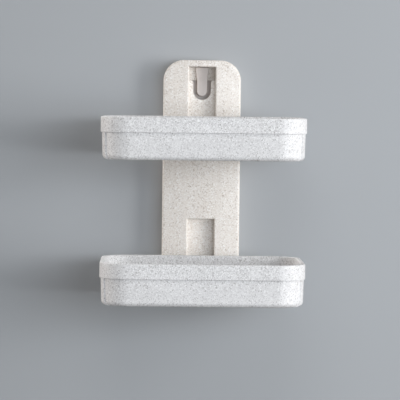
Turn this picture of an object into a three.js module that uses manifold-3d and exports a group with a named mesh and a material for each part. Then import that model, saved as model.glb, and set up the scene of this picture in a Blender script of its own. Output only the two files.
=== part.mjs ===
// Two-tier soap hanger: a moulded plate on an adhesive wall hook carries two soap dishes that lift off.
// Millimetres, +X right, +Y into the wall, +Z up. The origin is the centre of the adhesive pad's wall side.
// Distances from the wall are called "out": a point that is 15 out has Y = -15.
import * as THREE from 'three';
import { mergeVertices } from 'three/addons/utils/BufferGeometryUtils.js';
import Module from 'manifold-3d';

// Clearances
const fitGap = 0.3; // between pieces that seat on or slide past each other
const bondGap = 0.1; // glue line between the pad and the hook
const padSideGap = 2.5; // pad inside the plate's side walls
const padTopGap = 1.8; // pad below the plate's top wall
const tongueFrontGap = 0.7; // hook's tongue behind the window's floor
const keyholeGap = 2.4; // round the tongue, in the window's floor
const hookSideGap = 1.1; // dish hook inside its window
const fingerBackGap = 1.3; // dish hook's finger in front of the window's floor
const dishPlateGap = 0.5; // dish in front of the plate
const drainPlateGap = 1.2; // drain plate inside the dish, whose walls draw in towards the floor
const cutOver = 1; // how far a cutting solid runs past the face that it opens

// Adhesive pad and wall hook
const padHeight = 40;
const padThickness = 0.8;
const baseSideMargin = 6; // pad showing beside the hook's base
const baseEndMargin = 2; // pad showing above and below it
const baseThickness = 1.3;
const baseCorner = 4;
const tongueTipWidth = 9.2;
const tongueRootWidth = 6.8;
const tongueThickness = 1.5;
const tongueTipCorner = 1;
const crookDepth = 10.1; // from the hanging bar's seat down to the hook's lowest point

// Back plate
const plateWidth = 51.1;
const plateWall = 2.2;
const plateTopCorner = 13.6;
const plateBottomCorner = 4;
const plateEdgeRound = 1.5;
const plateCrownRadius = 150; // of its face, which falls back towards its sides
const plateBelowSocket = 4.3;
const hangBarThickness = 2;
const hangBarHeight = 8.9;
const ribThickness = 1.4;
const ribWallGap = 4; // ribs stop this far short of the wall
const crossRibCount = 3;

// Windows in the plate, one above each dish
const windowWidth = 17.7;
const upperWindowBelowPlateTop = 4.4;
const lowerWindowAboveRim = 23.9;
const pocketWall = 2.4;
const pocketFloor = 2;
const keyholeStepRound = 1.8;
const socketBelowFinger = 2.3;

// Dishes
const dishWidth = 130;
const dishDepth = 88;
const dishFrontCorner = 18;
const dishRearCorner = 18;
const dishHeight = 26.9;
const upperRimBelowPlateTop = 36.9;
const tierPitch = 91.8;
const bandHeight = 9.7;
const bandStep = 0.8; // the band stands this far proud of the wall below it
const bandEdgeRound = 0.8;
const dishWall = 2;
const dishFloor = 2;
const dishFloorRound = 3;
const dishDraft = 0.5;
const railHeight = 6;
const railWidth = 3;
const railSideMargin = 20; // from the band's outer face to the middle of a rail
const railEndMargin = 18;

// Hook and rest pads on the rear wall of a dish
const hookBelowRim = 2.4;
const hookBridgeHeight = 4;
const hookFingerLength = 11.3;
const hookFingerThickness = 2.2;
const restPadWidth = 6;
const restPadHeight = 5;
const restPadAboveBottom = 5;
const restPadFromPlateEdge = 9.7;

// Drain plate
const drainPlateThickness = 2;
const drainSlotWidth = 3.2;
const drainSlotPitch = 10.4;
const drainSlotEndMargin = 15; // from the band's outer face
const drainSlotSideMargin = 14;
const drainRibWidth = 2;
const drainRibHeight = 1.6;

// Facets
const cornerSteps = 4; // an arc gets twice as many
const edgeSteps = 3;
const crownSteps = 12;

// Distances out from the wall, from the pad forwards
const hookBaseFace = padThickness + bondGap + baseThickness;
const hangBarWallSide = hookBaseFace + fitGap;
const hangBarRoomSide = hangBarWallSide + hangBarThickness;
const tongueWallSide = hangBarRoomSide + fitGap;
const tongueRoomSide = tongueWallSide + tongueThickness;
const pocketFloorBack = tongueRoomSide + tongueFrontGap;
const pocketFloorFace = pocketFloorBack + pocketFloor;
const fingerWallSide = pocketFloorFace + fingerBackGap;
const fingerRoomSide = fingerWallSide + hookFingerThickness;
const plateInside = fingerRoomSide + fitGap;
const plateThickness = plateInside + plateWall;
const plateSkinMiddle = plateThickness - plateWall / 2;
const dishRear = plateThickness + dishPlateGap;

// Heights, from the pad's top upwards and then down the plate
const padTop = padHeight / 2;
const plateTop = padTop + padTopGap + plateWall;
const upperWindowTop = plateTop - upperWindowBelowPlateTop;
const hangBarBottom = upperWindowTop - hangBarHeight;
const hookSeat = hangBarBottom - fitGap;
const crookBottom = hookSeat - crookDepth;
const upperRim = plateTop - upperRimBelowPlateTop;
const lowerRim = upperRim - tierPitch;
const lowerWindowTop = lowerRim + lowerWindowAboveRim;
const hookUnderside = hookBelowRim + hookBridgeHeight;
const hookTip = hookUnderside + hookFingerLength;
const lipBelowRim = hookUnderside + fitGap;
const socketBelowRim = hookTip + socketBelowFinger;
const plateBottom = lowerRim - socketBelowRim - plateBelowSocket;

// Sizes that follow from what a piece fits
const padWidth = plateWidth - 2 * (plateWall + padSideGap);
const padCorner = plateTopCorner - plateWall - padSideGap;
const baseWidth = padWidth - 2 * baseSideMargin;
const baseHeight = padHeight - 2 * baseEndMargin;
const hookWidth = windowWidth - 2 * hookSideGap;
const dishInset = bandStep + dishWall;
const dishFloorTop = -dishHeight + dishFloor;
const railTop = dishFloorTop + railHeight;
const drainPlateUnderside = railTop + fitGap;
const drainPlateTop = drainPlateUnderside + drainPlateThickness;
const drainSlotCount = Math.floor((dishWidth - 2 * drainSlotSideMargin) / drainSlotPitch);

const wasm = await Module();
wasm.setup();

// A closed three.js geometry as a solid that can be joined and cut.
function solid(geometry) {
  const bare = geometry.clone();
  bare.deleteAttribute('normal');
  bare.deleteAttribute('uv');
  const merged = mergeVertices(bare, 1e-4);
  return new wasm.Manifold(
    new wasm.Mesh({
      numProp: 3,
      vertProperties: new Float32Array(merged.attributes.position.array),
      triVerts: new Uint32Array(merged.index.array),
    }),
  );
}

// A finished solid as a three.js geometry.
function geometryOf(body) {
  const mesh = body.getMesh();
  const geometry = new THREE.BufferGeometry();
  geometry.setAttribute('position', new THREE.BufferAttribute(mesh.vertProperties, 3));
  geometry.setIndex(new THREE.BufferAttribute(mesh.triVerts, 1));
  geometry.computeVertexNormals();
  return geometry;
}

// A rectangle with its own radius at the low and high ends of its second axis.
function roundedRectangle(left, right, low, high, lowRadius, highRadius) {
  const outline = new THREE.Shape();
  outline.moveTo(left + lowRadius, low);
  outline.absarc(right - lowRadius, low + lowRadius, lowRadius, -Math.PI / 2, 0);
  outline.absarc(right - highRadius, high - highRadius, highRadius, 0, Math.PI / 2);
  outline.absarc(left + highRadius, high - highRadius, highRadius, Math.PI / 2, Math.PI);
  outline.absarc(left + lowRadius, low + lowRadius, lowRadius, Math.PI, 1.5 * Math.PI);
  outline.closePath();
  return outline;
}

// An outline extruded by `depth`, its end edges rounded by `round` without growing past the outline.
function extrusion(outline, depth, round) {
  return new THREE.ExtrudeGeometry(outline, {
    depth: depth - 2 * round,
    curveSegments: cornerSteps,
    bevelEnabled: round > 0,
    bevelThickness: round,
    bevelSize: round,
    bevelOffset: -round,
    bevelSegments: edgeSteps,
  }).translate(0, 0, round);
}

// An outline in X and Y, extruded upwards.
function column(outline, bottom, top, round = 0) {
  return extrusion(outline, top - bottom, round).translate(0, 0, bottom);
}

// An outline in X and Z, extruded away from the wall.
function slab(outline, wallSide, roomSide, round = 0) {
  return extrusion(outline, roomSide - wallSide, round).translate(0, 0, wallSide).rotateX(Math.PI / 2);
}

// A plain block given by its width in X, centred at `middle`, and its limits out from the wall and in height.
function block(width, wallSide, roomSide, bottom, top, middle = 0) {
  const geometry = new THREE.BoxGeometry(width, roomSide - wallSide, top - bottom);
  return geometry.translate(middle, -(wallSide + roomSide) / 2, (bottom + top) / 2);
}

// A block and its copy on the other side of the middle.
function pair(width, wallSide, roomSide, bottom, top, offset) {
  const right = solid(block(width, wallSide, roomSide, bottom, top, offset));
  return right.add(solid(block(width, wallSide, roomSide, bottom, top, -offset)));
}

// The dish's plan, drawn in by `inset` from the band's outer face.
function dishOutline(inset) {
  const half = dishWidth / 2 - inset;
  const front = -(dishRear + dishDepth - inset);
  const rear = -(dishRear + inset);
  return roundedRectangle(-half, half, front, rear, dishFrontCorner - inset, dishRearCorner - inset);
}

// The plate's front view, drawn in by `inset`.
function plateOutline(inset) {
  const half = plateWidth / 2 - inset;
  const low = plateBottom + inset;
  const bottomCorner = Math.max(plateBottomCorner - inset, plateEdgeRound);
  return roundedRectangle(-half, half, low, plateTop - inset, bottomCorner, plateTopCorner - inset);
}

// How far out the plate's crowned face is at a distance from its middle, where it is `out`.
function crowned(out, side) {
  return out - (side * side) / (2 * plateCrownRadius);
}

// A plan with a crowned front, whose two front corners are rounded.
function crownedPlan(half, back, front, round) {
  const outline = new THREE.Shape();
  const flank = half - round;
  const turn = round - crowned(front, flank);
  outline.moveTo(half, -back);
  outline.lineTo(-half, -back);
  outline.absarc(-flank, turn, round, Math.PI, 1.5 * Math.PI);
  for (let i = 1; i < crownSteps; i++) {
    const side = flank * ((2 * i) / crownSteps - 1);
    outline.lineTo(side, -crowned(front, side));
  }
  outline.absarc(flank, turn, round, 1.5 * Math.PI, 2 * Math.PI);
  outline.closePath();
  return outline;
}

// A rectangle centred on the origin with four like corners.
function centredRectangle(width, height, corner) {
  return roundedRectangle(-width / 2, width / 2, -height / 2, height / 2, corner, corner);
}

// An upright strip with a half-round lower end.
function roundBottomedStrip(width, bottom, top) {
  const half = width / 2;
  const outline = new THREE.Shape();
  outline.moveTo(-half, bottom + half);
  outline.absarc(0, bottom + half, half, Math.PI, 2 * Math.PI);
  outline.lineTo(half, top);
  outline.lineTo(-half, top);
  outline.closePath();
  return outline;
}

function adhesivePad() {
  return slab(centredRectangle(padWidth, padHeight, padCorner), 0, padThickness);
}

// The tongue from its half-round root up to its wider tip, which has round corners.
function tongueOutline(tip) {
  const root = tongueRootWidth / 2;
  const half = tongueTipWidth / 2;
  const shoulder = tip - tongueTipCorner;
  const outline = new THREE.Shape();
  outline.moveTo(-root, crookBottom + root);
  outline.absarc(0, crookBottom + root, root, Math.PI, 2 * Math.PI);
  outline.lineTo(root, hookSeat);
  outline.absarc(half - tongueTipCorner, shoulder, tongueTipCorner, 0, Math.PI / 2);
  outline.absarc(-half + tongueTipCorner, shoulder, tongueTipCorner, Math.PI / 2, Math.PI);
  outline.lineTo(-root, hookSeat);
  outline.closePath();
  return outline;
}

// A stuck-on base, a root that passes under the plate's hanging bar, and a tongue in front of the bar.
function wallHook() {
  const wallSide = padThickness + bondGap;
  const tip = upperWindowTop - fitGap;
  const base = solid(slab(centredRectangle(baseWidth, baseHeight, baseCorner), wallSide, hookBaseFace));
  const rootStrip = roundBottomedStrip(tongueRootWidth, crookBottom, hookSeat);
  const root = solid(slab(rootStrip, wallSide, tongueRoomSide));
  const tongue = solid(slab(tongueOutline(tip), tongueWallSide, tongueRoomSide));
  return geometryOf(base.add(root).add(tongue));
}

// Walls and floor of one window's socket, as a block behind the plate's face.
function pocketBlock(windowTop, socketBottom) {
  const width = windowWidth + 2 * pocketWall;
  const bottom = socketBottom - pocketWall;
  return solid(block(width, hangBarWallSide, plateSkinMiddle, bottom, windowTop + pocketWall));
}

// The space of one socket: the window, the slit behind the plate's face below it, and a hollow at the back.
function pocketSpace(windowTop, lip, socketBottom) {
  const opening = solid(block(windowWidth, pocketFloorFace, plateThickness + cutOver, lip, windowTop));
  const slit = solid(block(windowWidth, pocketFloorFace, plateInside, socketBottom, lip + cutOver));
  const back = solid(block(windowWidth, -cutOver, pocketFloorBack, socketBottom, windowTop));
  return opening.add(slit).add(back);
}

// The opening in the upper window's floor: full width beside the bar, a round-ended slot below it.
function keyhole() {
  const half = windowWidth / 2;
  const slot = tongueRootWidth / 2 + keyholeGap;
  const shoulder = slot + keyholeStepRound;
  const turn = hangBarBottom - keyholeStepRound;
  const outline = new THREE.Shape();
  outline.moveTo(-half, upperWindowTop);
  outline.lineTo(-half, hangBarBottom);
  outline.absarc(-shoulder, turn, keyholeStepRound, Math.PI / 2, 0, true);
  outline.absarc(0, crookBottom - keyholeGap + slot, slot, Math.PI, 2 * Math.PI);
  outline.absarc(shoulder, turn, keyholeStepRound, Math.PI, Math.PI / 2, true);
  outline.lineTo(half, hangBarBottom);
  outline.lineTo(half, upperWindowTop);
  outline.closePath();
  return solid(slab(outline, pocketFloorBack - cutOver, pocketFloorFace + cutOver));
}

// The bar behind the upper window that hangs on the wall hook.
function hangBar() {
  const top = upperWindowTop + pocketWall / 2;
  return solid(block(windowWidth + pocketWall, hangBarWallSide, hangBarRoomSide, hangBarBottom, top));
}

// The stiffening ribs between the two sockets: a ladder whose sides are in line with the socket walls.
function plateRibs(top, bottom) {
  const spread = windowWidth + pocketWall;
  let ribs = pair(ribThickness, ribWallGap, plateSkinMiddle, bottom, top, spread / 2);
  const step = (top - bottom) / (crossRibCount + 1);
  for (let i = 1; i <= crossRibCount; i++) {
    const low = bottom + i * step - ribThickness / 2;
    const rib = block(spread, ribWallGap, plateSkinMiddle, low, low + ribThickness);
    ribs = ribs.add(solid(rib));
  }
  return ribs;
}

// The plate's moulded shell, open towards the wall, with a crowned face and a rounded front edge.
function plateShell() {
  const bottom = plateBottom - cutOver;
  const top = plateTop + cutOver;
  const outside = crownedPlan(plateWidth / 2, fitGap, plateThickness, plateEdgeRound);
  const inside = crownedPlan(plateWidth / 2, -cutOver, plateInside, plateEdgeRound);
  const front = solid(slab(plateOutline(0), -plateThickness, plateThickness, plateEdgeRound));
  const hollow = solid(slab(plateOutline(plateWall), -2 * cutOver, plateThickness));
  const body = front.intersect(solid(column(outside, bottom, top)));
  return body.subtract(hollow.intersect(solid(column(inside, bottom, top))));
}

function backPlate() {
  const upperSocket = upperRim - socketBelowRim;
  const lowerSocket = lowerRim - socketBelowRim;
  const body = plateShell()
    .add(pocketBlock(upperWindowTop, upperSocket))
    .add(pocketBlock(lowerWindowTop, lowerSocket))
    .add(plateRibs(upperSocket - pocketWall / 2, lowerWindowTop + pocketWall / 2))
    .subtract(pocketSpace(upperWindowTop, upperRim - lipBelowRim, upperSocket))
    .subtract(pocketSpace(lowerWindowTop, lowerRim - lipBelowRim, lowerSocket))
    .subtract(keyhole())
    .add(hangBar());
  return geometryOf(body);
}

// A solid drawn in towards its bottom, as a moulded wall is, by up to `draft` on each side.
function drafted(geometry, top, bottom, draft) {
  const middle = -(dishRear + dishDepth / 2);
  const position = geometry.attributes.position;
  for (let i = 0; i < position.count; i++) {
    const share = Math.min(Math.max((top - position.getZ(i)) / (top - bottom), 0), 1);
    const inX = 1 - (2 * draft * share) / dishWidth;
    const inY = 1 - (2 * draft * share) / dishDepth;
    position.setX(i, position.getX(i) * inX);
    position.setY(i, middle + (position.getY(i) - middle) * inY);
  }
  return geometry;
}

// The hook on a dish's rear wall: a bridge into the window and a finger behind the plate's face.
function dishHook() {
  const bridge = solid(block(hookWidth, fingerWallSide, dishRear + dishInset, -hookUnderside, -hookBelowRim));
  const finger = solid(block(hookWidth, fingerWallSide, fingerRoomSide, -hookTip, -hookBelowRim));
  return bridge.add(finger);
}

// Two low pads that rest on the plate's face and keep the dish level.
function restPads() {
  const bottom = -dishHeight + restPadAboveBottom;
  const offset = plateWidth / 2 - restPadFromPlateEdge;
  const wallSide = crowned(plateThickness, offset - restPadWidth / 2) + fitGap;
  return pair(restPadWidth, wallSide, dishRear + dishInset, bottom, bottom + restPadHeight, offset);
}

// Two rails on the dish's floor that carry the drain plate clear of the water.
function floorRails() {
  const rear = dishRear + railEndMargin;
  const front = dishRear + dishDepth - railEndMargin;
  return pair(railWidth, rear, front, dishFloorTop - dishFloor / 2, railTop, dishWidth / 2 - railSideMargin);
}

// Dish with its rim level at Z = 0: a drafted box with a raised band round its rim.
function dish() {
  const over = 2 * dishFloorRound;
  const wholeLower = column(dishOutline(bandStep), -dishHeight, over, dishFloorRound);
  const aboveBand = solid(block(2 * dishWidth, 0, dishRear + 2 * dishDepth, -bandHeight / 2, over + cutOver));
  const lower = solid(drafted(wholeLower, -bandHeight, -dishHeight, dishDraft)).subtract(aboveBand);
  const band = solid(column(dishOutline(0), -bandHeight, 0, bandEdgeRound));
  const space = column(dishOutline(dishInset), dishFloorTop, over, dishFloorRound);
  const inside = solid(drafted(space, -bandHeight, -dishHeight, dishDraft));
  const outside = lower.add(band).add(dishHook()).add(restPads());
  return geometryOf(outside.subtract(inside).add(floorRails()));
}

// Drain plate with the dish's rim level at Z = 0: slots across the width, with a rib on either side of each.
function drainPlate() {
  const rear = dishRear + drainSlotEndMargin;
  const front = dishRear + dishDepth - drainSlotEndMargin;
  const middleOf = (place) => (place - (drainSlotCount - 1) / 2) * drainSlotPitch;
  const round = drainSlotWidth / 2;
  let body = solid(column(dishOutline(dishInset + drainPlateGap), drainPlateUnderside, drainPlateTop));
  for (let i = 0; i < drainSlotCount; i++) {
    const middle = middleOf(i);
    const outline = roundedRectangle(middle - round, middle + round, -front, -rear, round, round);
    const slot = column(outline, drainPlateUnderside - cutOver, drainPlateTop + cutOver);
    body = body.subtract(solid(slot));
  }
  const ribFoot = drainPlateTop - drainPlateThickness / 2;
  for (let i = 0; i <= drainSlotCount; i++) {
    const rib = block(drainRibWidth, rear, front, ribFoot, drainPlateTop + drainRibHeight, middleOf(i - 0.5));
    body = body.add(solid(rib));
  }
  return geometryOf(body);
}

const platePlastic = new THREE.MeshStandardMaterial({ color: 0xece7e1, roughness: 0.42, metalness: 0 });
const dishPlastic = new THREE.MeshStandardMaterial({ color: 0xdddcdd, roughness: 0.42, metalness: 0 });
const hookPlastic = new THREE.MeshStandardMaterial({ color: 0xdad1cc, roughness: 0.35, metalness: 0 });
const clearPad = new THREE.MeshStandardMaterial({ color: 0xd8dcde, roughness: 0.3, metalness: 0 });

function piece(name, geometry, material, height = 0) {
  const mesh = new THREE.Mesh(geometry, material);
  mesh.name = name;
  mesh.position.z = height;
  return mesh;
}

const hanger = new THREE.Group();
hanger.add(piece('adhesive_pad', adhesivePad(), clearPad));
hanger.add(piece('wall_hook', wallHook(), hookPlastic));
hanger.add(piece('back_plate', backPlate(), platePlastic));
for (const [tier, rim] of [['upper', upperRim], ['lower', lowerRim]]) {
  hanger.add(piece(`${tier}_dish`, dish(), dishPlastic, rim));
  hanger.add(piece(`${tier}_drain_plate`, drainPlate(), dishPlastic, rim));
}

export default hanger;
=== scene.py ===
"""Two-tier soap hanger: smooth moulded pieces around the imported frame, with a stage, lamps and a camera."""
import math

import bmesh
import bpy
from mathutils import Matrix, Quaternion, Vector


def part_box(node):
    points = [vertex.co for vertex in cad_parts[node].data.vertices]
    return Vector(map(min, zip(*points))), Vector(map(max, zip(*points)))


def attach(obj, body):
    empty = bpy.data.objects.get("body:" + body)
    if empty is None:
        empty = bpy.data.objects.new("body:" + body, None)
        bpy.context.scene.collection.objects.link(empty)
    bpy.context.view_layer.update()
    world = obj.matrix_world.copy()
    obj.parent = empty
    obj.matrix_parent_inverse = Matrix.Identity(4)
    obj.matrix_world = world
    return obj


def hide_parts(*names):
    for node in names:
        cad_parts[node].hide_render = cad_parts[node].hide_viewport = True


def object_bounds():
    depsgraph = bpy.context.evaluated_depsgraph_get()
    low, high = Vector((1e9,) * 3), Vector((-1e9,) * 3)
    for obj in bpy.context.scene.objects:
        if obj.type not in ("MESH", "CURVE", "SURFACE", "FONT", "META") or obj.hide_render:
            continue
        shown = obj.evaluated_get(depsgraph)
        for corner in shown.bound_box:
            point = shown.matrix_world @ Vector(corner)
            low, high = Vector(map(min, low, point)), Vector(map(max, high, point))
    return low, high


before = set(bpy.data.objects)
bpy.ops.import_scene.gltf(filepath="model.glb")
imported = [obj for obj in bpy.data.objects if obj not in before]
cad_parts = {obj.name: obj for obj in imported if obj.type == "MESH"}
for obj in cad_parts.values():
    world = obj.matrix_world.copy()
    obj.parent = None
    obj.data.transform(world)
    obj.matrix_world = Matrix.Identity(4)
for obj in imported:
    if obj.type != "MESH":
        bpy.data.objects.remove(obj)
cad_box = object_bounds()

# Shapes are modelled in millimetres and brought to metres when a piece is finished.
MM = 0.001


def box_mm(node):
    """Lowest and highest corner of a CAD node, in millimetres."""
    low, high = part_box(node)
    return low / MM, high / MM


pad_low, pad_high = box_mm("adhesive_pad")
hook_low, hook_high = box_mm("wall_hook")
plate_low, plate_high = box_mm("back_plate")
dish_low, dish_high = box_mm("upper_dish")
drain_low, drain_high = box_mm("upper_drain_plate")
RIM_HEIGHT = {"upper": dish_high.z, "lower": box_mm("lower_dish")[1].z}

# Clearances and facets
FIT_GAP = 0.3
CUT_OVER = 1
CORNER_STEPS = 16
EDGE_STEPS = 4
SMALL_EDGE_STEPS = 2
FLOOR_STEPS = 8
TINY = 0.01
SHARP = math.radians(35)

# Live bevels on sharp edges
SOFT_EDGE_STEPS = 3
SOFT_EDGE_ANGLE = math.radians(50)
DISH_SOFT_EDGE = 0.15
DRAIN_SOFT_EDGE = 0.4
HOOK_SOFT_EDGE = 0.4
PAD_SOFT_EDGE = 0.15

# Adhesive pad and wall hook
PAD_CORNER = 8.9
BASE_WIDTH = 29.7
BASE_CORNER = 4
BASE_FACE = 2.2
TONGUE_ROOT_WIDTH = 6.8
TONGUE_TIP_WIDTH = 9.2
TONGUE_THICKNESS = 1.5
TONGUE_TIP_CORNER = 1
TONGUE_FRONT_GAP = 0.7
CROOK_DEPTH = 10.1
HOOK_BACK = -hook_high.y
TONGUE_FACE = -hook_low.y

# Back plate, with distances out from the wall as positive numbers
PLATE_BACK = -plate_high.y
PLATE_FACE = -plate_low.y
PLATE_WALL = 2.2
PLATE_INSIDE = PLATE_FACE - PLATE_WALL
PLATE_SKIN_MIDDLE = PLATE_FACE - PLATE_WALL / 2
PLATE_TOP_CORNER = 13.6
PLATE_BOTTOM_CORNER = 4
PLATE_EDGE_ROUND = 1.5
PLATE_SMALL_ROUND = 0.25
PLATE_CROWN_RADIUS = 150
PLATE_CROWN_STEP = 2.45
HANG_BAR_BACK = BASE_FACE + FIT_GAP
HANG_BAR_FACE = TONGUE_FACE - TONGUE_THICKNESS - FIT_GAP
HANG_BAR_HEIGHT = 8.9
RIB_THICKNESS = 1.4
RIB_BACK = 4
CROSS_RIBS = 3

# Windows in the plate
WINDOW_HALF = 8.85
WINDOW_EDGE_ROUND = 0.9
UPPER_WINDOW_BELOW_PLATE_TOP = 4.4
LOWER_WINDOW_ABOVE_RIM = 23.9
WINDOW_TOP = {
    "upper": plate_high.z - UPPER_WINDOW_BELOW_PLATE_TOP,
    "lower": RIM_HEIGHT["lower"] + LOWER_WINDOW_ABOVE_RIM,
}
POCKET_WALL = 2.4
POCKET_FLOOR = 2
POCKET_BACK = TONGUE_FACE + TONGUE_FRONT_GAP
POCKET_FACE = POCKET_BACK + POCKET_FLOOR
LIP_BELOW_RIM = 6.7
SOCKET_BELOW_RIM = 20
KEYHOLE_GAP = 2.4
KEYHOLE_STEP_ROUND = 1.8

# Dishes, with heights measured from the rim
DISH_HALF = dish_high.x
DISH_FRONT = -dish_low.y
DISH_PLATE_GAP = 0.5
DISH_REAR = PLATE_FACE + DISH_PLATE_GAP
DISH_BOTTOM = dish_low.z - dish_high.z
DISH_FRONT_CORNER = 18
DISH_REAR_CORNER = 18
BAND_BOTTOM = -9.7
BAND_STEP = 0.8
RIM_ROUND = 0.8
BAND_FOOT_ROUND = 0.35
FACE_STEP = 0.8
LEDGE_FROM_FRONT = 10.1
DISH_WALL = 2
DISH_FLOOR_THICKNESS = 2
DISH_FLOOR = DISH_BOTTOM + DISH_FLOOR_THICKNESS
DISH_FLOOR_ROUND = 3
DISH_DRAFT = 0.5
DISH_INSET = BAND_STEP + DISH_WALL
RAIL_HALF = 1.5
RAIL_FROM_SIDE = 20
RAIL_OFFSET = DISH_HALF - RAIL_FROM_SIDE
RAIL_HEIGHT = 6
RAIL_TOP = DISH_FLOOR + RAIL_HEIGHT
RAIL_END_MARGIN = 18
SMALL_ROUND = 0.5

# Hook and rest pads on the rear wall of a dish
FINGER_BACK = -dish_high.y
FINGER_FACE = PLATE_INSIDE - FIT_GAP
DISH_HOOK_SIDE_GAP = 1.1
DISH_HOOK_HALF = WINDOW_HALF - DISH_HOOK_SIDE_GAP
DISH_HOOK_TOP = -2.4
DISH_HOOK_BRIDGE_BOTTOM = -6.4
DISH_HOOK_TIP = -17.7
REST_PAD_FROM_PLATE_SIDE = 9.7
REST_PAD_OFFSET = plate_high.x - REST_PAD_FROM_PLATE_SIDE
REST_PAD_HALF = 3
REST_PAD_ABOVE_BOTTOM = 5
REST_PAD_HEIGHT = 5
REST_PAD_BOTTOM = DISH_BOTTOM + REST_PAD_ABOVE_BOTTOM
REST_PAD_TOP = REST_PAD_BOTTOM + REST_PAD_HEIGHT

# Drain plates, with heights measured from the rim
DRAIN_GAP = 1.2
DRAIN_INSET = DISH_INSET + DRAIN_GAP
DRAIN_THICKNESS = 2
DRAIN_BOTTOM = drain_low.z - dish_high.z
DRAIN_TOP = DRAIN_BOTTOM + DRAIN_THICKNESS
DRAIN_RIB_TOP = drain_high.z - dish_high.z
DRAIN_RIB_HALF = 1
DRAIN_SLOT_HALF = 1.6
DRAIN_SLOT_PITCH = 10.4
DRAIN_SLOT_COUNT = 9
DRAIN_SLOT_MARGIN = 15


# Solids

def round_rectangle(left, right, low, high, low_radius=0.0, high_radius=0.0):
    """A bmesh with one flat face at height 0 and its own corner radius at the low and high ends."""
    bm = bmesh.new()
    middle = (low + high) / 2
    place = Matrix.Translation(((left + right) / 2, middle, 0))
    size = Matrix.Diagonal((right - left, high - low, 1, 1))
    bmesh.ops.create_grid(bm, x_segments=1, y_segments=1, size=0.5, matrix=place @ size)
    low_corners = [v for v in bm.verts if v.co.y < middle]
    high_corners = [v for v in bm.verts if v.co.y > middle]
    for corners, radius in ((low_corners, low_radius), (high_corners, high_radius)):
        if radius:
            round_off(bm, corners, radius, CORNER_STEPS, "VERTICES")
    return bm


def round_off(bm, geometry, radius, steps, affect="EDGES", clamp=True):
    """Rounds edges, or the corners of a flat face."""
    bmesh.ops.bevel(
        bm, geom=geometry, offset=radius, offset_type="OFFSET", segments=steps,
        profile=0.5, affect=affect, material=-1, clamp_overlap=clamp,
    )


def extrude_face(bm, face, offset, keep=False):
    """Extrudes a face by an offset and returns the face at the far end. A lone outline keeps its own face."""
    new = bmesh.ops.extrude_face_region(bm, geom=[face])["geom"]
    bmesh.ops.translate(bm, vec=offset, verts=[g for g in new if isinstance(g, bmesh.types.BMVert)])
    if not keep:
        bmesh.ops.delete(bm, geom=[face], context="FACES_ONLY")
    return next(g for g in new if isinstance(g, bmesh.types.BMFace))


def column(outline, bottom, top):
    """Extrudes an X-Y outline upwards between two heights."""
    bmesh.ops.translate(outline, vec=(0, 0, bottom), verts=outline.verts)
    extrude_face(outline, outline.faces[:][0], (0, 0, top - bottom), keep=True)
    bmesh.ops.recalc_face_normals(outline, faces=outline.faces)
    return outline


def turn_to_wall(bm):
    """Turns a solid that was built flat so that its height becomes its distance out from the wall."""
    bmesh.ops.rotate(bm, matrix=Matrix.Rotation(math.pi / 2, 3, "X"), verts=bm.verts)
    return bm


def slab(outline, wall_side, room_side):
    """Extrudes an X-Z outline between two distances out from the wall."""
    return turn_to_wall(column(outline, wall_side, room_side))


def block(left, right, wall_side, room_side, bottom, top):
    """A plain block given by its limits."""
    bm = bmesh.new()
    middle = ((left + right) / 2, -(wall_side + room_side) / 2, (bottom + top) / 2)
    size = (right - left, room_side - wall_side, top - bottom, 1)
    bmesh.ops.create_cube(bm, size=1, matrix=Matrix.Translation(middle) @ Matrix.Diagonal(size))
    return bm


def round_block(left, right, wall_side, room_side, bottom, top):
    """A block with all its edges rounded a little."""
    bm = block(left, right, wall_side, room_side, bottom, top)
    round_off(bm, bm.edges[:], SMALL_ROUND, EDGE_STEPS)
    return bm


def edges_at(bm, height, convex):
    """The sharp convex or concave edges that lie level at a height."""
    bm.normal_update()
    level = [e for e in bm.edges if all(abs(v.co.z - height) < TINY for v in e.verts)]
    return [e for e in level if e.calc_face_angle(0) > SHARP and e.is_convex == convex]


def as_object(name, bm):
    """Turns a bmesh into an object of the scene."""
    bmesh.ops.recalc_face_normals(bm, faces=bm.faces)
    mesh = bpy.data.meshes.new(name)
    bm.to_mesh(mesh)
    bm.free()
    obj = bpy.data.objects.new(name, mesh)
    bpy.context.scene.collection.objects.link(obj)
    return obj


def settle(obj):
    """Applies an object's modifiers to its mesh."""
    bpy.context.view_layer.update()
    finished = obj.evaluated_get(bpy.context.evaluated_depsgraph_get())
    mesh = bpy.data.meshes.new_from_object(finished)
    obj.modifiers.clear()
    obj.data = mesh


def combine(base, solids, operation):
    """Unites solids with a base object, or cuts them out of it."""
    others = [as_object("solid", solid) for solid in solids]
    for other in others:
        step = base.modifiers.new(operation, "BOOLEAN")
        step.operation = operation
        step.solver = "EXACT"
        step.object = other
    settle(base)
    for other in others:
        bpy.data.objects.remove(other)


def bring_to_frame(obj, height=0.0):
    """Brings a piece from millimetres to metres, with its rim or origin at a height."""
    obj.data.transform(Matrix.Scale(MM, 4) @ Matrix.Translation((0, 0, height)))


def soften_edges(obj, width):
    """A small live bevel on the sharp edges."""
    bevel = obj.modifiers.new("soft_edges", "BEVEL")
    bevel.width = width * MM
    bevel.segments = SOFT_EDGE_STEPS
    bevel.profile = 0.5
    bevel.limit_method = "ANGLE"
    bevel.angle_limit = SOFT_EDGE_ANGLE
    bevel.miter_outer = "MITER_ARC"


def shade(obj):
    """Smooth shading that keeps flat faces flat."""
    obj.data.shade_smooth()
    obj.data.set_sharp_from_angle(angle=SHARP)
    normals = obj.modifiers.new("even_shading", "WEIGHTED_NORMAL")
    normals.keep_sharp = True


def dress(obj, material, body, node):
    """Gives a finished piece its material and its place in the frame."""
    obj.name = f"{node}_moulding"
    obj.data.name = obj.name
    obj.data.materials.clear()
    obj.data.materials.append(material)
    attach(obj, body)
    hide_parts(node)


# Dishes

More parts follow.
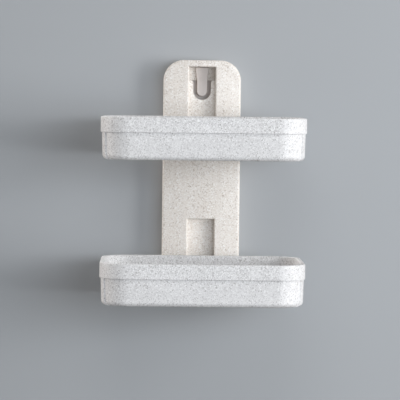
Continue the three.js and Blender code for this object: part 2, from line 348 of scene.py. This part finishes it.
def dish_outline(inset):
    """The dish's plan, drawn in from the band's outer face."""
    half = DISH_HALF - inset
    return round_rectangle(
        -half, half, -(DISH_FRONT - inset), -(DISH_REAR + inset),
        DISH_FRONT_CORNER - inset, DISH_REAR_CORNER - inset,
    )


def draw_in(bm, face):
    """Draws a face of the dish in on all sides by the moulding draft."""
    middle = Vector((0, -(DISH_FRONT + DISH_REAR) / 2, 0))
    half_depth = (DISH_FRONT - DISH_REAR) / 2
    shrink = (1 - DISH_DRAFT / DISH_HALF, 1 - DISH_DRAFT / half_depth, 1)
    bmesh.ops.scale(bm, vec=shrink, space=Matrix.Translation(-middle), verts=face.verts[:])


def drafted_solid(inset, bottom, top):
    """A solid with the dish's plan that draws in towards its rounded lower edge."""
    bm = dish_outline(inset)
    bmesh.ops.translate(bm, vec=(0, 0, top), verts=bm.verts)
    lower_face = extrude_face(bm, bm.faces[:][0], (0, 0, bottom - top), keep=True)
    draw_in(bm, lower_face)
    bmesh.ops.recalc_face_normals(bm, faces=bm.faces)
    round_off(bm, edges_at(bm, bottom, True), DISH_FLOOR_ROUND, FLOOR_STEPS)
    return bm


def tub_sides():
    """The part of the tub behind its upright ledges, which stands a little proud of the front part."""
    bm = drafted_solid(BAND_STEP, DISH_BOTTOM, BAND_BOTTOM + CUT_OVER)
    ledge = (0, LEDGE_FROM_FRONT - DISH_FRONT, 0)
    everything = bm.verts[:] + bm.edges[:] + bm.faces[:]
    bmesh.ops.bisect_plane(bm, geom=everything, plane_co=ledge, plane_no=(0, -1, 0), clear_outer=True)
    bmesh.ops.holes_fill(bm, edges=[e for e in bm.edges if e.is_boundary])
    return bm


def rim_band():
    """The raised band round the rim, with its lower edge rounded."""
    bm = column(dish_outline(0), BAND_BOTTOM, 0)
    round_off(bm, edges_at(bm, BAND_BOTTOM, True), BAND_FOOT_ROUND, EDGE_STEPS)
    return bm


def round_rim(mesh):
    """Rounds both edges of the rim."""
    bm = bmesh.new()
    bm.from_mesh(mesh)
    round_off(bm, edges_at(bm, 0, True), RIM_ROUND, EDGE_STEPS)
    bm.to_mesh(mesh)
    bm.free()


def dish_hook():
    """A finger that stands behind the plate's face, with a bridge from its top to the dish's rear wall."""
    bm = block(-DISH_HOOK_HALF, DISH_HOOK_HALF, FINGER_BACK, FINGER_FACE, DISH_HOOK_TIP, DISH_HOOK_TOP)
    everything = bm.verts[:] + bm.edges[:] + bm.faces[:]
    bmesh.ops.bisect_plane(bm, geom=everything, plane_co=(0, 0, DISH_HOOK_BRIDGE_BOTTOM), plane_no=(0, 0, 1))
    upper_front = min(bm.faces, key=lambda f: (round(f.calc_center_median().y, 3), -f.calc_center_median().z))
    reach = DISH_REAR + DISH_INSET / 2 - FINGER_FACE
    extrude_face(bm, upper_front, (0, -reach, 0))
    bm.normal_update()
    round_off(bm, [e for e in bm.edges if e.calc_face_angle(0) > SHARP], SMALL_ROUND, EDGE_STEPS)
    return bm


def rest_pads():
    """Two low pads that rest on the plate's face and keep the dish level."""
    wall_side = PLATE_FACE - crown_drop(REST_PAD_OFFSET - REST_PAD_HALF) + FIT_GAP
    room_side = DISH_REAR + DISH_INSET
    pads = []
    for side in (-1, 1):
        middle = side * REST_PAD_OFFSET
        limits = (middle - REST_PAD_HALF, middle + REST_PAD_HALF)
        pads.append(round_block(*limits, wall_side, room_side, REST_PAD_BOTTOM, REST_PAD_TOP))
    return pads


def floor_rails():
    """Two rails on the dish's floor that carry the drain plate clear of the water."""
    rails = []
    for side in (-1, 1):
        middle = side * RAIL_OFFSET
        limits = (middle - RAIL_HALF, middle + RAIL_HALF)
        ends = (DISH_REAR + RAIL_END_MARGIN, DISH_FRONT - RAIL_END_MARGIN)
        rails.append(round_block(*limits, *ends, DISH_FLOOR - CUT_OVER, RAIL_TOP))
    return rails


def dish(tier, material):
    """A drafted tub with a raised band round its rim and a hook at the back."""
    obj = as_object(f"{tier}_dish", rim_band())
    front_part = drafted_solid(BAND_STEP + FACE_STEP, DISH_BOTTOM, BAND_BOTTOM + CUT_OVER)
    combine(obj, [front_part, tub_sides()], "UNION")
    combine(obj, [drafted_solid(DISH_INSET, DISH_FLOOR, CUT_OVER)], "DIFFERENCE")
    round_rim(obj.data)
    combine(obj, [dish_hook(), *rest_pads(), *floor_rails()], "UNION")
    bring_to_frame(obj, RIM_HEIGHT[tier])
    soften_edges(obj, DISH_SOFT_EDGE)
    shade(obj)
    dress(obj, material, f"{tier}_dish", f"{tier}_dish")


def drain_plate(tier, material):
    """A slotted plate with a rib on either side of each slot."""
    plate = column(dish_outline(DRAIN_INSET), DRAIN_BOTTOM, DRAIN_TOP)
    obj = as_object(f"{tier}_drain_plate", plate)
    rear = DISH_REAR + DRAIN_SLOT_MARGIN
    front = DISH_FRONT - DRAIN_SLOT_MARGIN
    first = -(DRAIN_SLOT_COUNT - 1) / 2 * DRAIN_SLOT_PITCH
    ribs = []
    for i in range(DRAIN_SLOT_COUNT + 1):
        middle = first + (i - 0.5) * DRAIN_SLOT_PITCH
        limits = (middle - DRAIN_RIB_HALF, middle + DRAIN_RIB_HALF)
        ribs.append(block(*limits, rear, front, DRAIN_TOP - CUT_OVER, DRAIN_RIB_TOP))
    combine(obj, ribs, "UNION")
    slots = []
    for i in range(DRAIN_SLOT_COUNT):
        middle = first + i * DRAIN_SLOT_PITCH
        limits = (middle - DRAIN_SLOT_HALF, middle + DRAIN_SLOT_HALF)
        radius = DRAIN_SLOT_HALF - TINY
        outline = round_rectangle(*limits, -front, -rear, radius, radius)
        slots.append(column(outline, DRAIN_BOTTOM - CUT_OVER, DRAIN_TOP + CUT_OVER))
    combine(obj, slots, "DIFFERENCE")
    bring_to_frame(obj, RIM_HEIGHT[tier])
    soften_edges(obj, DRAIN_SOFT_EDGE)
    shade(obj)
    dress(obj, material, f"{tier}_drain_plate", f"{tier}_drain_plate")


# Back plate

def plate_shell():
    """The plate's moulded shell, open towards the wall, with its front edge rounded."""
    bm = round_rectangle(
        plate_low.x, plate_high.x, plate_low.z, plate_high.z, PLATE_BOTTOM_CORNER, PLATE_TOP_CORNER,
    )
    column(bm, PLATE_BACK, PLATE_FACE)
    back = next(f for f in bm.faces if all(abs(v.co.z - PLATE_BACK) < TINY for v in f.verts))
    bmesh.ops.inset_region(bm, faces=[back], thickness=PLATE_WALL, use_even_offset=True)
    extrude_face(bm, back, (0, 0, PLATE_INSIDE - PLATE_BACK))
    bmesh.ops.recalc_face_normals(bm, faces=bm.faces)
    round_off(bm, edges_at(bm, PLATE_FACE, True), PLATE_EDGE_ROUND, FLOOR_STEPS)
    return turn_to_wall(bm)


def socket_walls(tier):
    """Walls and floor of one window's socket, as a block behind the plate's face."""
    half = WINDOW_HALF + POCKET_WALL
    bottom = RIM_HEIGHT[tier] - SOCKET_BELOW_RIM - POCKET_WALL
    return block(-half, half, HANG_BAR_BACK, PLATE_SKIN_MIDDLE, bottom, WINDOW_TOP[tier] + POCKET_WALL)


def socket_spaces(tier):
    """The window, the slit behind the plate's face below it, and the hollow at the back."""
    lip = RIM_HEIGHT[tier] - LIP_BELOW_RIM
    bottom = RIM_HEIGHT[tier] - SOCKET_BELOW_RIM
    top = WINDOW_TOP[tier]
    half = WINDOW_HALF
    return [
        block(-half, half, POCKET_FACE, PLATE_FACE + CUT_OVER, lip, top),
        block(-half, half, POCKET_FACE, PLATE_INSIDE, bottom, lip + CUT_OVER),
        block(-half, half, -CUT_OVER, POCKET_BACK, bottom, top),
    ]


def keyhole():
    """The opening in the upper window's floor: full width beside the bar, a round-ended slot below it."""
    top = WINDOW_TOP["upper"]
    step = top - HANG_BAR_HEIGHT
    half = TONGUE_ROOT_WIDTH / 2 + KEYHOLE_GAP
    bottom = step - FIT_GAP - CROOK_DEPTH - KEYHOLE_GAP
    bm = round_rectangle(-WINDOW_HALF, WINDOW_HALF, step, top)
    for side in (-half, half):
        everything = bm.verts[:] + bm.edges[:] + bm.faces[:]
        bmesh.ops.bisect_plane(bm, geom=everything, plane_co=(side, 0, 0), plane_no=(1, 0, 0))
    level = [e for e in bm.edges if all(abs(v.co.y - step) < TINY for v in e.verts)]
    slot_mouth = min(level, key=lambda e: abs(e.verts[0].co.x + e.verts[1].co.x))
    new = bmesh.ops.extrude_edge_only(bm, edges=[slot_mouth])["geom"]
    ends = [g for g in new if isinstance(g, bmesh.types.BMVert)]
    bmesh.ops.translate(bm, vec=(0, bottom - step, 0), verts=ends)
    bmesh.ops.dissolve_faces(bm, faces=bm.faces[:])
    step_corners = [v for v in bm.verts if abs(v.co.y - step) < TINY and abs(v.co.x) < half + TINY]
    slot_corners = [v for v in bm.verts if v.co.y < step - TINY]
    round_off(bm, slot_corners, half - TINY, CORNER_STEPS, "VERTICES")
    round_off(bm, step_corners, KEYHOLE_STEP_ROUND, EDGE_STEPS, "VERTICES")
    return slab(bm, POCKET_BACK - CUT_OVER, POCKET_FACE + CUT_OVER)


def hang_bar():
    """The bar behind the upper window that hangs on the wall hook."""
    half = WINDOW_HALF + POCKET_WALL / 2
    top = WINDOW_TOP["upper"]
    return block(-half, half, HANG_BAR_BACK, HANG_BAR_FACE, top - HANG_BAR_HEIGHT, top + POCKET_WALL / 2)


def plate_ribs():
    """A ladder of ribs between the two sockets, its sides in line with the socket walls."""
    offset = WINDOW_HALF + POCKET_WALL / 2
    half = RIB_THICKNESS / 2
    top = RIM_HEIGHT["upper"] - SOCKET_BELOW_RIM - POCKET_WALL / 2
    bottom = WINDOW_TOP["lower"] + POCKET_WALL / 2
    ribs = []
    for middle in (-offset, offset):
        ribs.append(block(middle - half, middle + half, RIB_BACK, PLATE_SKIN_MIDDLE, bottom, top))
    for i in range(1, CROSS_RIBS + 1):
        height = bottom + (top - bottom) * i / (CROSS_RIBS + 1)
        ribs.append(block(-offset, offset, RIB_BACK, PLATE_SKIN_MIDDLE, height - half, height + half))
    return ribs


def along_window(ends, tier):
    """Whether an edge of the plate's face, given by its ends, runs along one window."""
    low = RIM_HEIGHT[tier] - LIP_BELOW_RIM
    high = WINDOW_TOP[tier]
    within = all(abs(co.x) < WINDOW_HALF + TINY and low - TINY < co.z < high + TINY for co in ends)
    upright = all(abs(abs(co.x) - WINDOW_HALF) < TINY for co in ends)
    level = any(all(abs(co.z - height) < TINY for co in ends) for height in (low, high))
    return within and (upright or level)


def window_edges(bm):
    """The edges of the windows in the plate's face."""
    edges = []
    for edge in bm.edges:
        ends = [v.co for v in edge.verts]
        on_face = all(abs(co.y + PLATE_FACE) < TINY for co in ends)
        if on_face and any(along_window(ends, tier) for tier in RIM_HEIGHT):
            edges.append(edge)
    return edges


def round_plate_edges(mesh):
    """Rounds the windows' edges well and all other sharp edges a little."""
    bm = bmesh.new()
    bm.from_mesh(mesh)
    bmesh.ops.remove_doubles(bm, verts=bm.verts, dist=2 * TINY)
    bmesh.ops.dissolve_degenerate(bm, edges=bm.edges, dist=2 * TINY)
    round_off(bm, window_edges(bm), WINDOW_EDGE_ROUND, EDGE_STEPS)
    bm.normal_update()
    sharp = [e for e in bm.edges if e.calc_face_angle(0) > SHARP]
    round_off(bm, sharp, PLATE_SMALL_ROUND, SMALL_EDGE_STEPS, clamp=False)
    bm.to_mesh(mesh)
    bm.free()


def cut_for_crown(mesh):
    """Cuts the plate into upright strips, so that its face can take the crown."""
    bm = bmesh.new()
    bm.from_mesh(mesh)
    strips = math.ceil(plate_high.x / PLATE_CROWN_STEP)
    for i in range(1 - strips, strips):
        everything = bm.verts[:] + bm.edges[:] + bm.faces[:]
        place = (i * PLATE_CROWN_STEP, 0, 0)
        bmesh.ops.bisect_plane(bm, geom=everything, plane_co=place, plane_no=(1, 0, 0))
    bm.to_mesh(mesh)
    bm.free()


def crown_drop(side):
    """How far the plate's crowned face falls back at a distance from its middle."""
    return side * side / (2 * PLATE_CROWN_RADIUS)


def crown_face(mesh):
    """Bends the plate's front skin back towards its sides."""
    for vertex in mesh.vertices:
        if vertex.co.y < TINY - PLATE_INSIDE:
            vertex.co.y += crown_drop(vertex.co.x)


def back_plate(material):
    """A crowned, ribbed plate with two windows, open towards the wall."""
    obj = as_object("back_plate", plate_shell())
    combine(obj, [socket_walls("upper"), socket_walls("lower"), *plate_ribs()], "UNION")
    combine(obj, [*socket_spaces("upper"), *socket_spaces("lower"), keyhole()], "DIFFERENCE")
    combine(obj, [hang_bar()], "UNION")
    round_plate_edges(obj.data)
    cut_for_crown(obj.data)
    crown_face(obj.data)
    bring_to_frame(obj)
    shade(obj)
    dress(obj, material, "plate", "back_plate")


# Wall hook and adhesive pad

def tongue(root, seat, tip):
    """A round-bottomed root out from the base, with a tongue that rises and widens from its front."""
    half = TONGUE_ROOT_WIDTH / 2
    bm = column(round_rectangle(-half, half, root, seat, half - TINY), HOOK_BACK + FIT_GAP, TONGUE_FACE)
    tongue_back = TONGUE_FACE - TONGUE_THICKNESS
    everything = bm.verts[:] + bm.edges[:] + bm.faces[:]
    bmesh.ops.bisect_plane(bm, geom=everything, plane_co=(0, 0, tongue_back), plane_no=(0, 0, 1))
    tops = [f for f in bm.faces if all(abs(v.co.y - seat) < TINY for v in f.verts)]
    front_top = max(tops, key=lambda f: f.calc_center_median().z)
    tip_face = extrude_face(bm, front_top, (0, tip - seat, 0))
    bmesh.ops.scale(bm, vec=(TONGUE_TIP_WIDTH / TONGUE_ROOT_WIDTH, 1, 1), verts=tip_face.verts[:])
    tip_corners = [e for e in tip_face.edges if abs(e.verts[0].co.x - e.verts[1].co.x) < TINY]
    round_off(bm, tip_corners, TONGUE_TIP_CORNER, EDGE_STEPS)
    bmesh.ops.recalc_face_normals(bm, faces=bm.faces)
    return turn_to_wall(bm)


def wall_hook(material):
    """A stuck-on base and the tongue that the plate hangs on."""
    seat = WINDOW_TOP["upper"] - HANG_BAR_HEIGHT - FIT_GAP
    half = BASE_WIDTH / 2
    base_outline = round_rectangle(-half, half, hook_low.z, -hook_low.z, BASE_CORNER, BASE_CORNER)
    obj = as_object("wall_hook", slab(base_outline, HOOK_BACK, BASE_FACE))
    combine(obj, [tongue(seat - CROOK_DEPTH, seat, hook_high.z)], "UNION")
    bring_to_frame(obj)
    soften_edges(obj, HOOK_SOFT_EDGE)
    shade(obj)
    dress(obj, material, "wall_mount", "wall_hook")


def adhesive_pad(material):
    """A clear sheet with round corners between the wall and the hook's base."""
    outline = round_rectangle(pad_low.x, pad_high.x, pad_low.z, pad_high.z, PAD_CORNER, PAD_CORNER)
    obj = as_object("adhesive_pad", slab(outline, 0, -pad_low.y))
    bring_to_frame(obj)
    soften_edges(obj, PAD_SOFT_EDGE)
    shade(obj)
    dress(obj, material, "wall_mount", "adhesive_pad")


# Materials

def linear(red, green, blue):
    """A colour given in 0-255 display values, as the shader wants it."""
    def channel(value):
        share = value / 255
        return share / 12.92 if share <= 0.04045 else ((share + 0.055) / 1.055) ** 2.4
    return (channel(red), channel(green), channel(blue), 1)


# The darker and the paler shade of each plastic. The plate's pair is a paler, warmer copy of the dishes'
# plastic: painted light, standing in for the stronger, warmer light that falls on the plate.
PLATE_SHADES_WITH_PAINTED_LIGHT = (linear(228, 221, 213), linear(234, 228, 221))
DISH_SHADES = (linear(221, 220, 220), linear(227, 226, 226))

# Flecks in the plastics: cells per metre, share of cells that hold one, size within the cell, colour
PLATE_FLECKS = (
    (1550, 0.55, 1.05, linear(192, 182, 172)),
    (1150, 0.26, 0.85, linear(180, 166, 153)),
    (1700, 0.65, 1.15, linear(255, 254, 252)),
    (420, 0.05, 0.48, linear(158, 139, 124)),
)
DISH_FLECKS = (
    (1550, 0.60, 1.10, linear(172, 170, 170)),
    (1150, 0.32, 0.85, linear(158, 154, 152)),
    (1750, 0.60, 1.15, linear(253, 253, 253)),
    (420, 0.05, 0.45, linear(146, 135, 128)),
)

# Noise lies mostly between these values
NOISE_LOW = 0.3
NOISE_HIGH = 0.7

# Depth of the moulded grain, in metres
GRAIN_DEPTH = 0.0001


def new_material(name):
    """A material with an empty node tree, its output and a Principled shader."""
    material = bpy.data.materials.new(name)
    material.use_nodes = True
    tree = material.node_tree
    tree.nodes.clear()
    output = tree.nodes.new("ShaderNodeOutputMaterial")
    shader = tree.nodes.new("ShaderNodeBsdfPrincipled")
    tree.links.new(shader.outputs["BSDF"], output.inputs["Surface"])
    return material, tree, shader


def feed(tree, socket, value):
    """Links a node's output to a socket, or sets the socket to a plain value."""
    if isinstance(value, bpy.types.NodeSocket):
        tree.links.new(value, socket)
    else:
        socket.default_value = value


def worked_out(tree, operation, first, second):
    """The result of a Math node on two outputs or plain values."""
    node = tree.nodes.new("ShaderNodeMath")
    node.operation = operation
    feed(tree, node.inputs[0], first)
    feed(tree, node.inputs[1], second)
    return node.outputs["Value"]


def fading(tree, value, start, end):
    """A share that is 1 up to a start and falls smoothly to 0 at an end."""
    fade = tree.nodes.new("ShaderNodeMapRange")
    fade.interpolation_type = "SMOOTHSTEP"
    feed(tree, fade.inputs["Value"], value)
    feed(tree, fade.inputs["From Min"], start)
    feed(tree, fade.inputs["From Max"], end)
    fade.inputs["To Min"].default_value = 1
    fade.inputs["To Max"].default_value = 0
    return fade.outputs["Result"]


def specks_group():
    """Scattered flecks: a share of the cells of a 3-D pattern holds one, each of its own size."""
    group = bpy.data.node_groups.new("moulded_specks", "ShaderNodeTree")
    group.interface.new_socket("Position", in_out="INPUT", socket_type="NodeSocketVector")
    for name in ("Cells per metre", "Share", "Size"):
        group.interface.new_socket(name, in_out="INPUT", socket_type="NodeSocketFloat")
    group.interface.new_socket("Mask", in_out="OUTPUT", socket_type="NodeSocketFloat")
    given = group.nodes.new("NodeGroupInput").outputs
    cells = group.nodes.new("ShaderNodeTexVoronoi")
    feed(group, cells.inputs["Vector"], given["Position"])
    feed(group, cells.inputs["Scale"], given["Cells per metre"])
    chance = group.nodes.new("ShaderNodeSeparateColor")
    feed(group, chance.inputs["Color"], cells.outputs["Color"])
    present = worked_out(group, "LESS_THAN", chance.outputs["Red"], given["Share"])
    reach = worked_out(group, "MULTIPLY", given["Size"], chance.outputs["Green"])
    within = fading(group, cells.outputs["Distance"], 0, reach)
    mask = worked_out(group, "MULTIPLY", present, within)
    feed(group, group.nodes.new("NodeGroupOutput").inputs["Mask"], mask)
    return group


def noise(tree, position, scale, detail=2.0):
    """A noise texture on a position."""
    texture = tree.nodes.new("ShaderNodeTexNoise")
    texture.inputs["Scale"].default_value = scale
    texture.inputs["Detail"].default_value = detail
    tree.links.new(position, texture.inputs["Vector"])
    return texture.outputs["Fac"]


def between(tree, value, low, high):
    """Maps a noise value to a range."""
    spread = tree.nodes.new("ShaderNodeMapRange")
    spread.inputs["From Min"].default_value = NOISE_LOW
    spread.inputs["From Max"].default_value = NOISE_HIGH
    spread.inputs["To Min"].default_value = low
    spread.inputs["To Max"].default_value = high
    tree.links.new(value, spread.inputs["Value"])
    return spread.outputs["Result"]


def tint(tree, share, under, over):
    """Mixes a colour, or the result of an earlier mix, with another by a mask."""
    mix = tree.nodes.new("ShaderNodeMix")
    mix.data_type = "RGBA"
    tree.links.new(share, mix.inputs["Factor"])
    feed(tree, mix.inputs["A"], under)
    feed(tree, mix.inputs["B"], over)
    return mix.outputs["Result"]


def grain(tree, shader, position, scale, strength):
    """A fine moulded grain on the surface."""
    bump = tree.nodes.new("ShaderNodeBump")
    bump.inputs["Strength"].default_value = strength
    bump.inputs["Distance"].default_value = GRAIN_DEPTH
    tree.links.new(noise(tree, position, scale), bump.inputs["Height"])
    tree.links.new(bump.outputs["Normal"], shader.inputs["Normal"])


def object_position(tree):
    """A place on the piece, in metres of its own frame."""
    return tree.nodes.new("ShaderNodeTexCoord").outputs["Object"]


def speckled_plastic(name, specks, darker, paler, flecks):
    """Satin off-white moulding, clouded between two shades, with several kinds of flecks."""
    material, tree, shader = new_material(name)
    position = object_position(tree)
    shade_mask = between(tree, noise(tree, position, scale=45), 0, 1)
    colour = tint(tree, shade_mask, darker, paler)
    for cells, share, size, fleck_colour in flecks:
        group = tree.nodes.new("ShaderNodeGroup")
        group.node_tree = specks
        tree.links.new(position, group.inputs["Position"])
        group.inputs["Cells per metre"].default_value = cells
        group.inputs["Share"].default_value = share
        group.inputs["Size"].default_value = size
        colour = tint(tree, group.outputs["Mask"], colour, fleck_colour)
    tree.links.new(colour, shader.inputs["Base Color"])
    roughness = between(tree, noise(tree, position, scale=160), 0.5, 0.6)
    tree.links.new(roughness, shader.inputs["Roughness"])
    grain(tree, shader, position, scale=2200, strength=0.12)
    return material


def hook_plastic():
    """Smooth warm grey moulding with slight clouds."""
    material, tree, shader = new_material("hook_plastic")
    position = object_position(tree)
    clouds = between(tree, noise(tree, position, scale=120, detail=4.0), 0, 1)
    colour = tint(tree, clouds, linear(212, 203, 198), linear(224, 216, 211))
    tree.links.new(colour, shader.inputs["Base Color"])
    roughness = between(tree, noise(tree, position, scale=300), 0.3, 0.42)
    tree.links.new(roughness, shader.inputs["Roughness"])
    grain(tree, shader, position, scale=1500, strength=0.1)
    return material


def clear_pad():
    """Clear adhesive sheet with a faint haze."""
    material, tree, shader = new_material("clear_pad")
    position = object_position(tree)
    haze = between(tree, noise(tree, position, scale=260, detail=3.0), 0, 1)
    colour = tint(tree, haze, linear(232, 236, 237), linear(218, 223, 225))
    tree.links.new(colour, shader.inputs["Base Color"])
    roughness = between(tree, noise(tree, position, scale=420), 0.12, 0.3)
    tree.links.new(roughness, shader.inputs["Roughness"])
    shader.inputs["Alpha"].default_value = 0.6
    shader.inputs["IOR"].default_value = 1.45
    grain(tree, shader, position, scale=700, strength=0.05)
    return material


# Stage, lamps and camera

# Lengths are in metres, apart from the width of the sensor, which is in millimetres
IMAGE_PIXELS = 400
CAMERA_SENSOR = 36
CAMERA_REACH = 20
CAMERA_FOCAL_PIXELS = 2422.7
CAMERA_PLACE = Vector((-0.0313, -1.612, 0.0034))
CAMERA_YAW = math.radians(1.099)
CAMERA_PITCH = math.radians(-2.565)
CAMERA_ROLL = math.radians(0.65)
SCENE_MIDDLE = (cad_box[0] + cad_box[1]) / 2
WALL_COLOUR = linear(172, 175, 178)
WALL_REACH = 0.6
WALL_GAP = 0.0003
FLOOR_COLOUR = linear(205, 207, 209)
FLOOR_REACH = 0.7
FLOOR_BELOW_PART = 0.11
FLOOR_HEIGHT = cad_box[0].z - FLOOR_BELOW_PART
BACKGROUND_COLOUR = linear(188, 190, 192)
SURROUNDINGS_STRENGTH = 0.3
LEFT_TINT = (1, 0.95, 0.91)
FRONT_TINT = (0.85, 0.92, 1)


def stage_material(name, colour, reach):
    """A pale matt sheet that shows its front only, lets light through and fades out into the background."""
    material = bpy.data.materials.new(name)
    material.use_nodes = True
    tree = material.node_tree
    nodes, links = tree.nodes, tree.links
    nodes.clear()
    output = nodes.new("ShaderNodeOutputMaterial")
    open_air = nodes.new("ShaderNodeBsdfTransparent")
    sheet = nodes.new("ShaderNodeBsdfDiffuse")
    sheet.inputs["Color"].default_value = colour
    rays = nodes.new("ShaderNodeLightPath").outputs
    mirrored = worked_out(tree, "MAXIMUM", rays["Is Glossy Ray"], rays["Is Transmission Ray"])
    seen = worked_out(tree, "MAXIMUM", rays["Is Camera Ray"], mirrored)
    front = worked_out(tree, "SUBTRACT", 1, nodes.new("ShaderNodeNewGeometry").outputs["Backfacing"])
    distance = nodes.new("ShaderNodeVectorMath")
    distance.operation = "LENGTH"
    links.new(object_position(tree), distance.inputs[0])
    near = fading(tree, distance.outputs["Value"], reach / 2, reach)
    shown = worked_out(tree, "MULTIPLY", worked_out(tree, "MULTIPLY", seen, front), near)
    mix = nodes.new("ShaderNodeMixShader")
    links.new(shown, mix.inputs["Fac"])
    links.new(open_air.outputs["BSDF"], mix.inputs[1])
    links.new(sheet.outputs["BSDF"], mix.inputs[2])
    links.new(mix.outputs["Shader"], output.inputs["Surface"])
    return material


def stage_sheet(name, reach, turn, colour):
    """A large flat sheet, turned about X."""
    bm = bmesh.new()
    matrix = Matrix.Rotation(turn, 4, "X")
    bmesh.ops.create_grid(bm, x_segments=1, y_segments=1, size=reach, matrix=matrix)
    mesh = bpy.data.meshes.new(name)
    bm.to_mesh(mesh)
    bm.free()
    obj = bpy.data.objects.new(name, mesh)
    bpy.context.scene.collection.objects.link(obj)
    mesh.materials.append(stage_material(name, colour, reach))
    return obj


def lamp(name, direction, distance, width, height, power, colour=(1, 1, 1)):
    """A rectangular soft lamp that looks at the middle of the hanger."""
    data = bpy.data.lights.new(name, "AREA")
    data.shape = "RECTANGLE"
    data.size = width
    data.size_y = height
    data.energy = power
    data.color = colour
    obj = bpy.data.objects.new(name, data)
    bpy.context.scene.collection.objects.link(obj)
    obj.location = SCENE_MIDDLE + direction.normalized() * distance
    obj.rotation_euler = (-direction).to_track_quat("-Z", "Y").to_euler()
    obj.visible_camera = False


def off_the_wall(side, height):
    """A direction given by its angle off the wall's normal, to the right, and its angle above level."""
    side, height = math.radians(side), math.radians(height)
    return Vector((math.sin(side) * math.cos(height), -math.cos(side) * math.cos(height), math.sin(height)))


def surroundings(strength, colour):
    """Even light from all round, and a pale background for the camera."""
    world = bpy.data.worlds.new("surroundings")
    bpy.context.scene.world = world
    world.use_nodes = True
    nodes, links = world.node_tree.nodes, world.node_tree.links
    nodes.clear()
    output = nodes.new("ShaderNodeOutputWorld")
    light = nodes.new("ShaderNodeBackground")
    light.inputs["Strength"].default_value = strength
    seen = nodes.new("ShaderNodeBackground")
    seen.inputs["Color"].default_value = colour
    path = nodes.new("ShaderNodeLightPath")
    mix = nodes.new("ShaderNodeMixShader")
    links.new(path.outputs["Is Camera Ray"], mix.inputs["Fac"])
    links.new(light.outputs["Background"], mix.inputs[1])
    links.new(seen.outputs["Background"], mix.inputs[2])
    links.new(mix.outputs["Shader"], output.inputs["Surface"])


def camera():
    """A long lens a little to the left of the hanger, looking slightly down."""
    data = bpy.data.cameras.new("camera")
    data.sensor_width = CAMERA_SENSOR
    data.lens = data.sensor_width * CAMERA_FOCAL_PIXELS / IMAGE_PIXELS
    data.clip_end = CAMERA_REACH
    obj = bpy.data.objects.new("camera", data)
    bpy.context.scene.collection.objects.link(obj)
    obj.location = CAMERA_PLACE
    forward = Vector((
        math.sin(CAMERA_YAW) * math.cos(CAMERA_PITCH),
        math.cos(CAMERA_YAW) * math.cos(CAMERA_PITCH),
        math.sin(CAMERA_PITCH),
    ))
    roll = Quaternion((0, 0, 1), CAMERA_ROLL)
    obj.rotation_euler = (forward.to_track_quat("-Z", "Y") @ roll).to_euler()
    bpy.context.scene.camera = obj


# The scene
camera()
stage_sheet("wall", WALL_REACH, math.pi / 2, WALL_COLOUR).location = (0, WALL_GAP, SCENE_MIDDLE.z)
stage_sheet("floor", FLOOR_REACH, 0, FLOOR_COLOUR).location = (0, 0, FLOOR_HEIGHT)
surroundings(SURROUNDINGS_STRENGTH, BACKGROUND_COLOUR)
lamp("key", off_the_wall(57, 2), distance=1.6, width=0.4, height=0.5, power=8.4)
lamp("window", off_the_wall(64, 11), distance=1.6, width=1.0, height=1.2, power=12)
lamp("left", off_the_wall(-95, 8), distance=1.5, width=0.7, height=0.7, power=11, colour=LEFT_TINT)
lamp("front", off_the_wall(24, 4), distance=1.5, width=1.0, height=0.5, power=7.8, colour=FRONT_TINT)
lamp("above", off_the_wall(-4, 52), distance=1.5, width=0.7, height=0.5, power=2.9)
lamp("rear", off_the_wall(200, 35), distance=1.6, width=0.6, height=0.6, power=9)

specks = specks_group()
# The plate's plastic is the dishes' plastic painted paler and warmer, as painted light on the plate.
plate_plastic = speckled_plastic("plate_plastic", specks, *PLATE_SHADES_WITH_PAINTED_LIGHT, PLATE_FLECKS)
dish_plastic = speckled_plastic("dish_plastic", specks, *DISH_SHADES, DISH_FLECKS)
back_plate(plate_plastic)
wall_hook(hook_plastic())
adhesive_pad(clear_pad())
for tier in ("upper", "lower"):
    dish(tier, dish_plastic)
    drain_plate(tier, dish_plastic)

bpy.context.scene.view_settings.view_transform = "Standard"
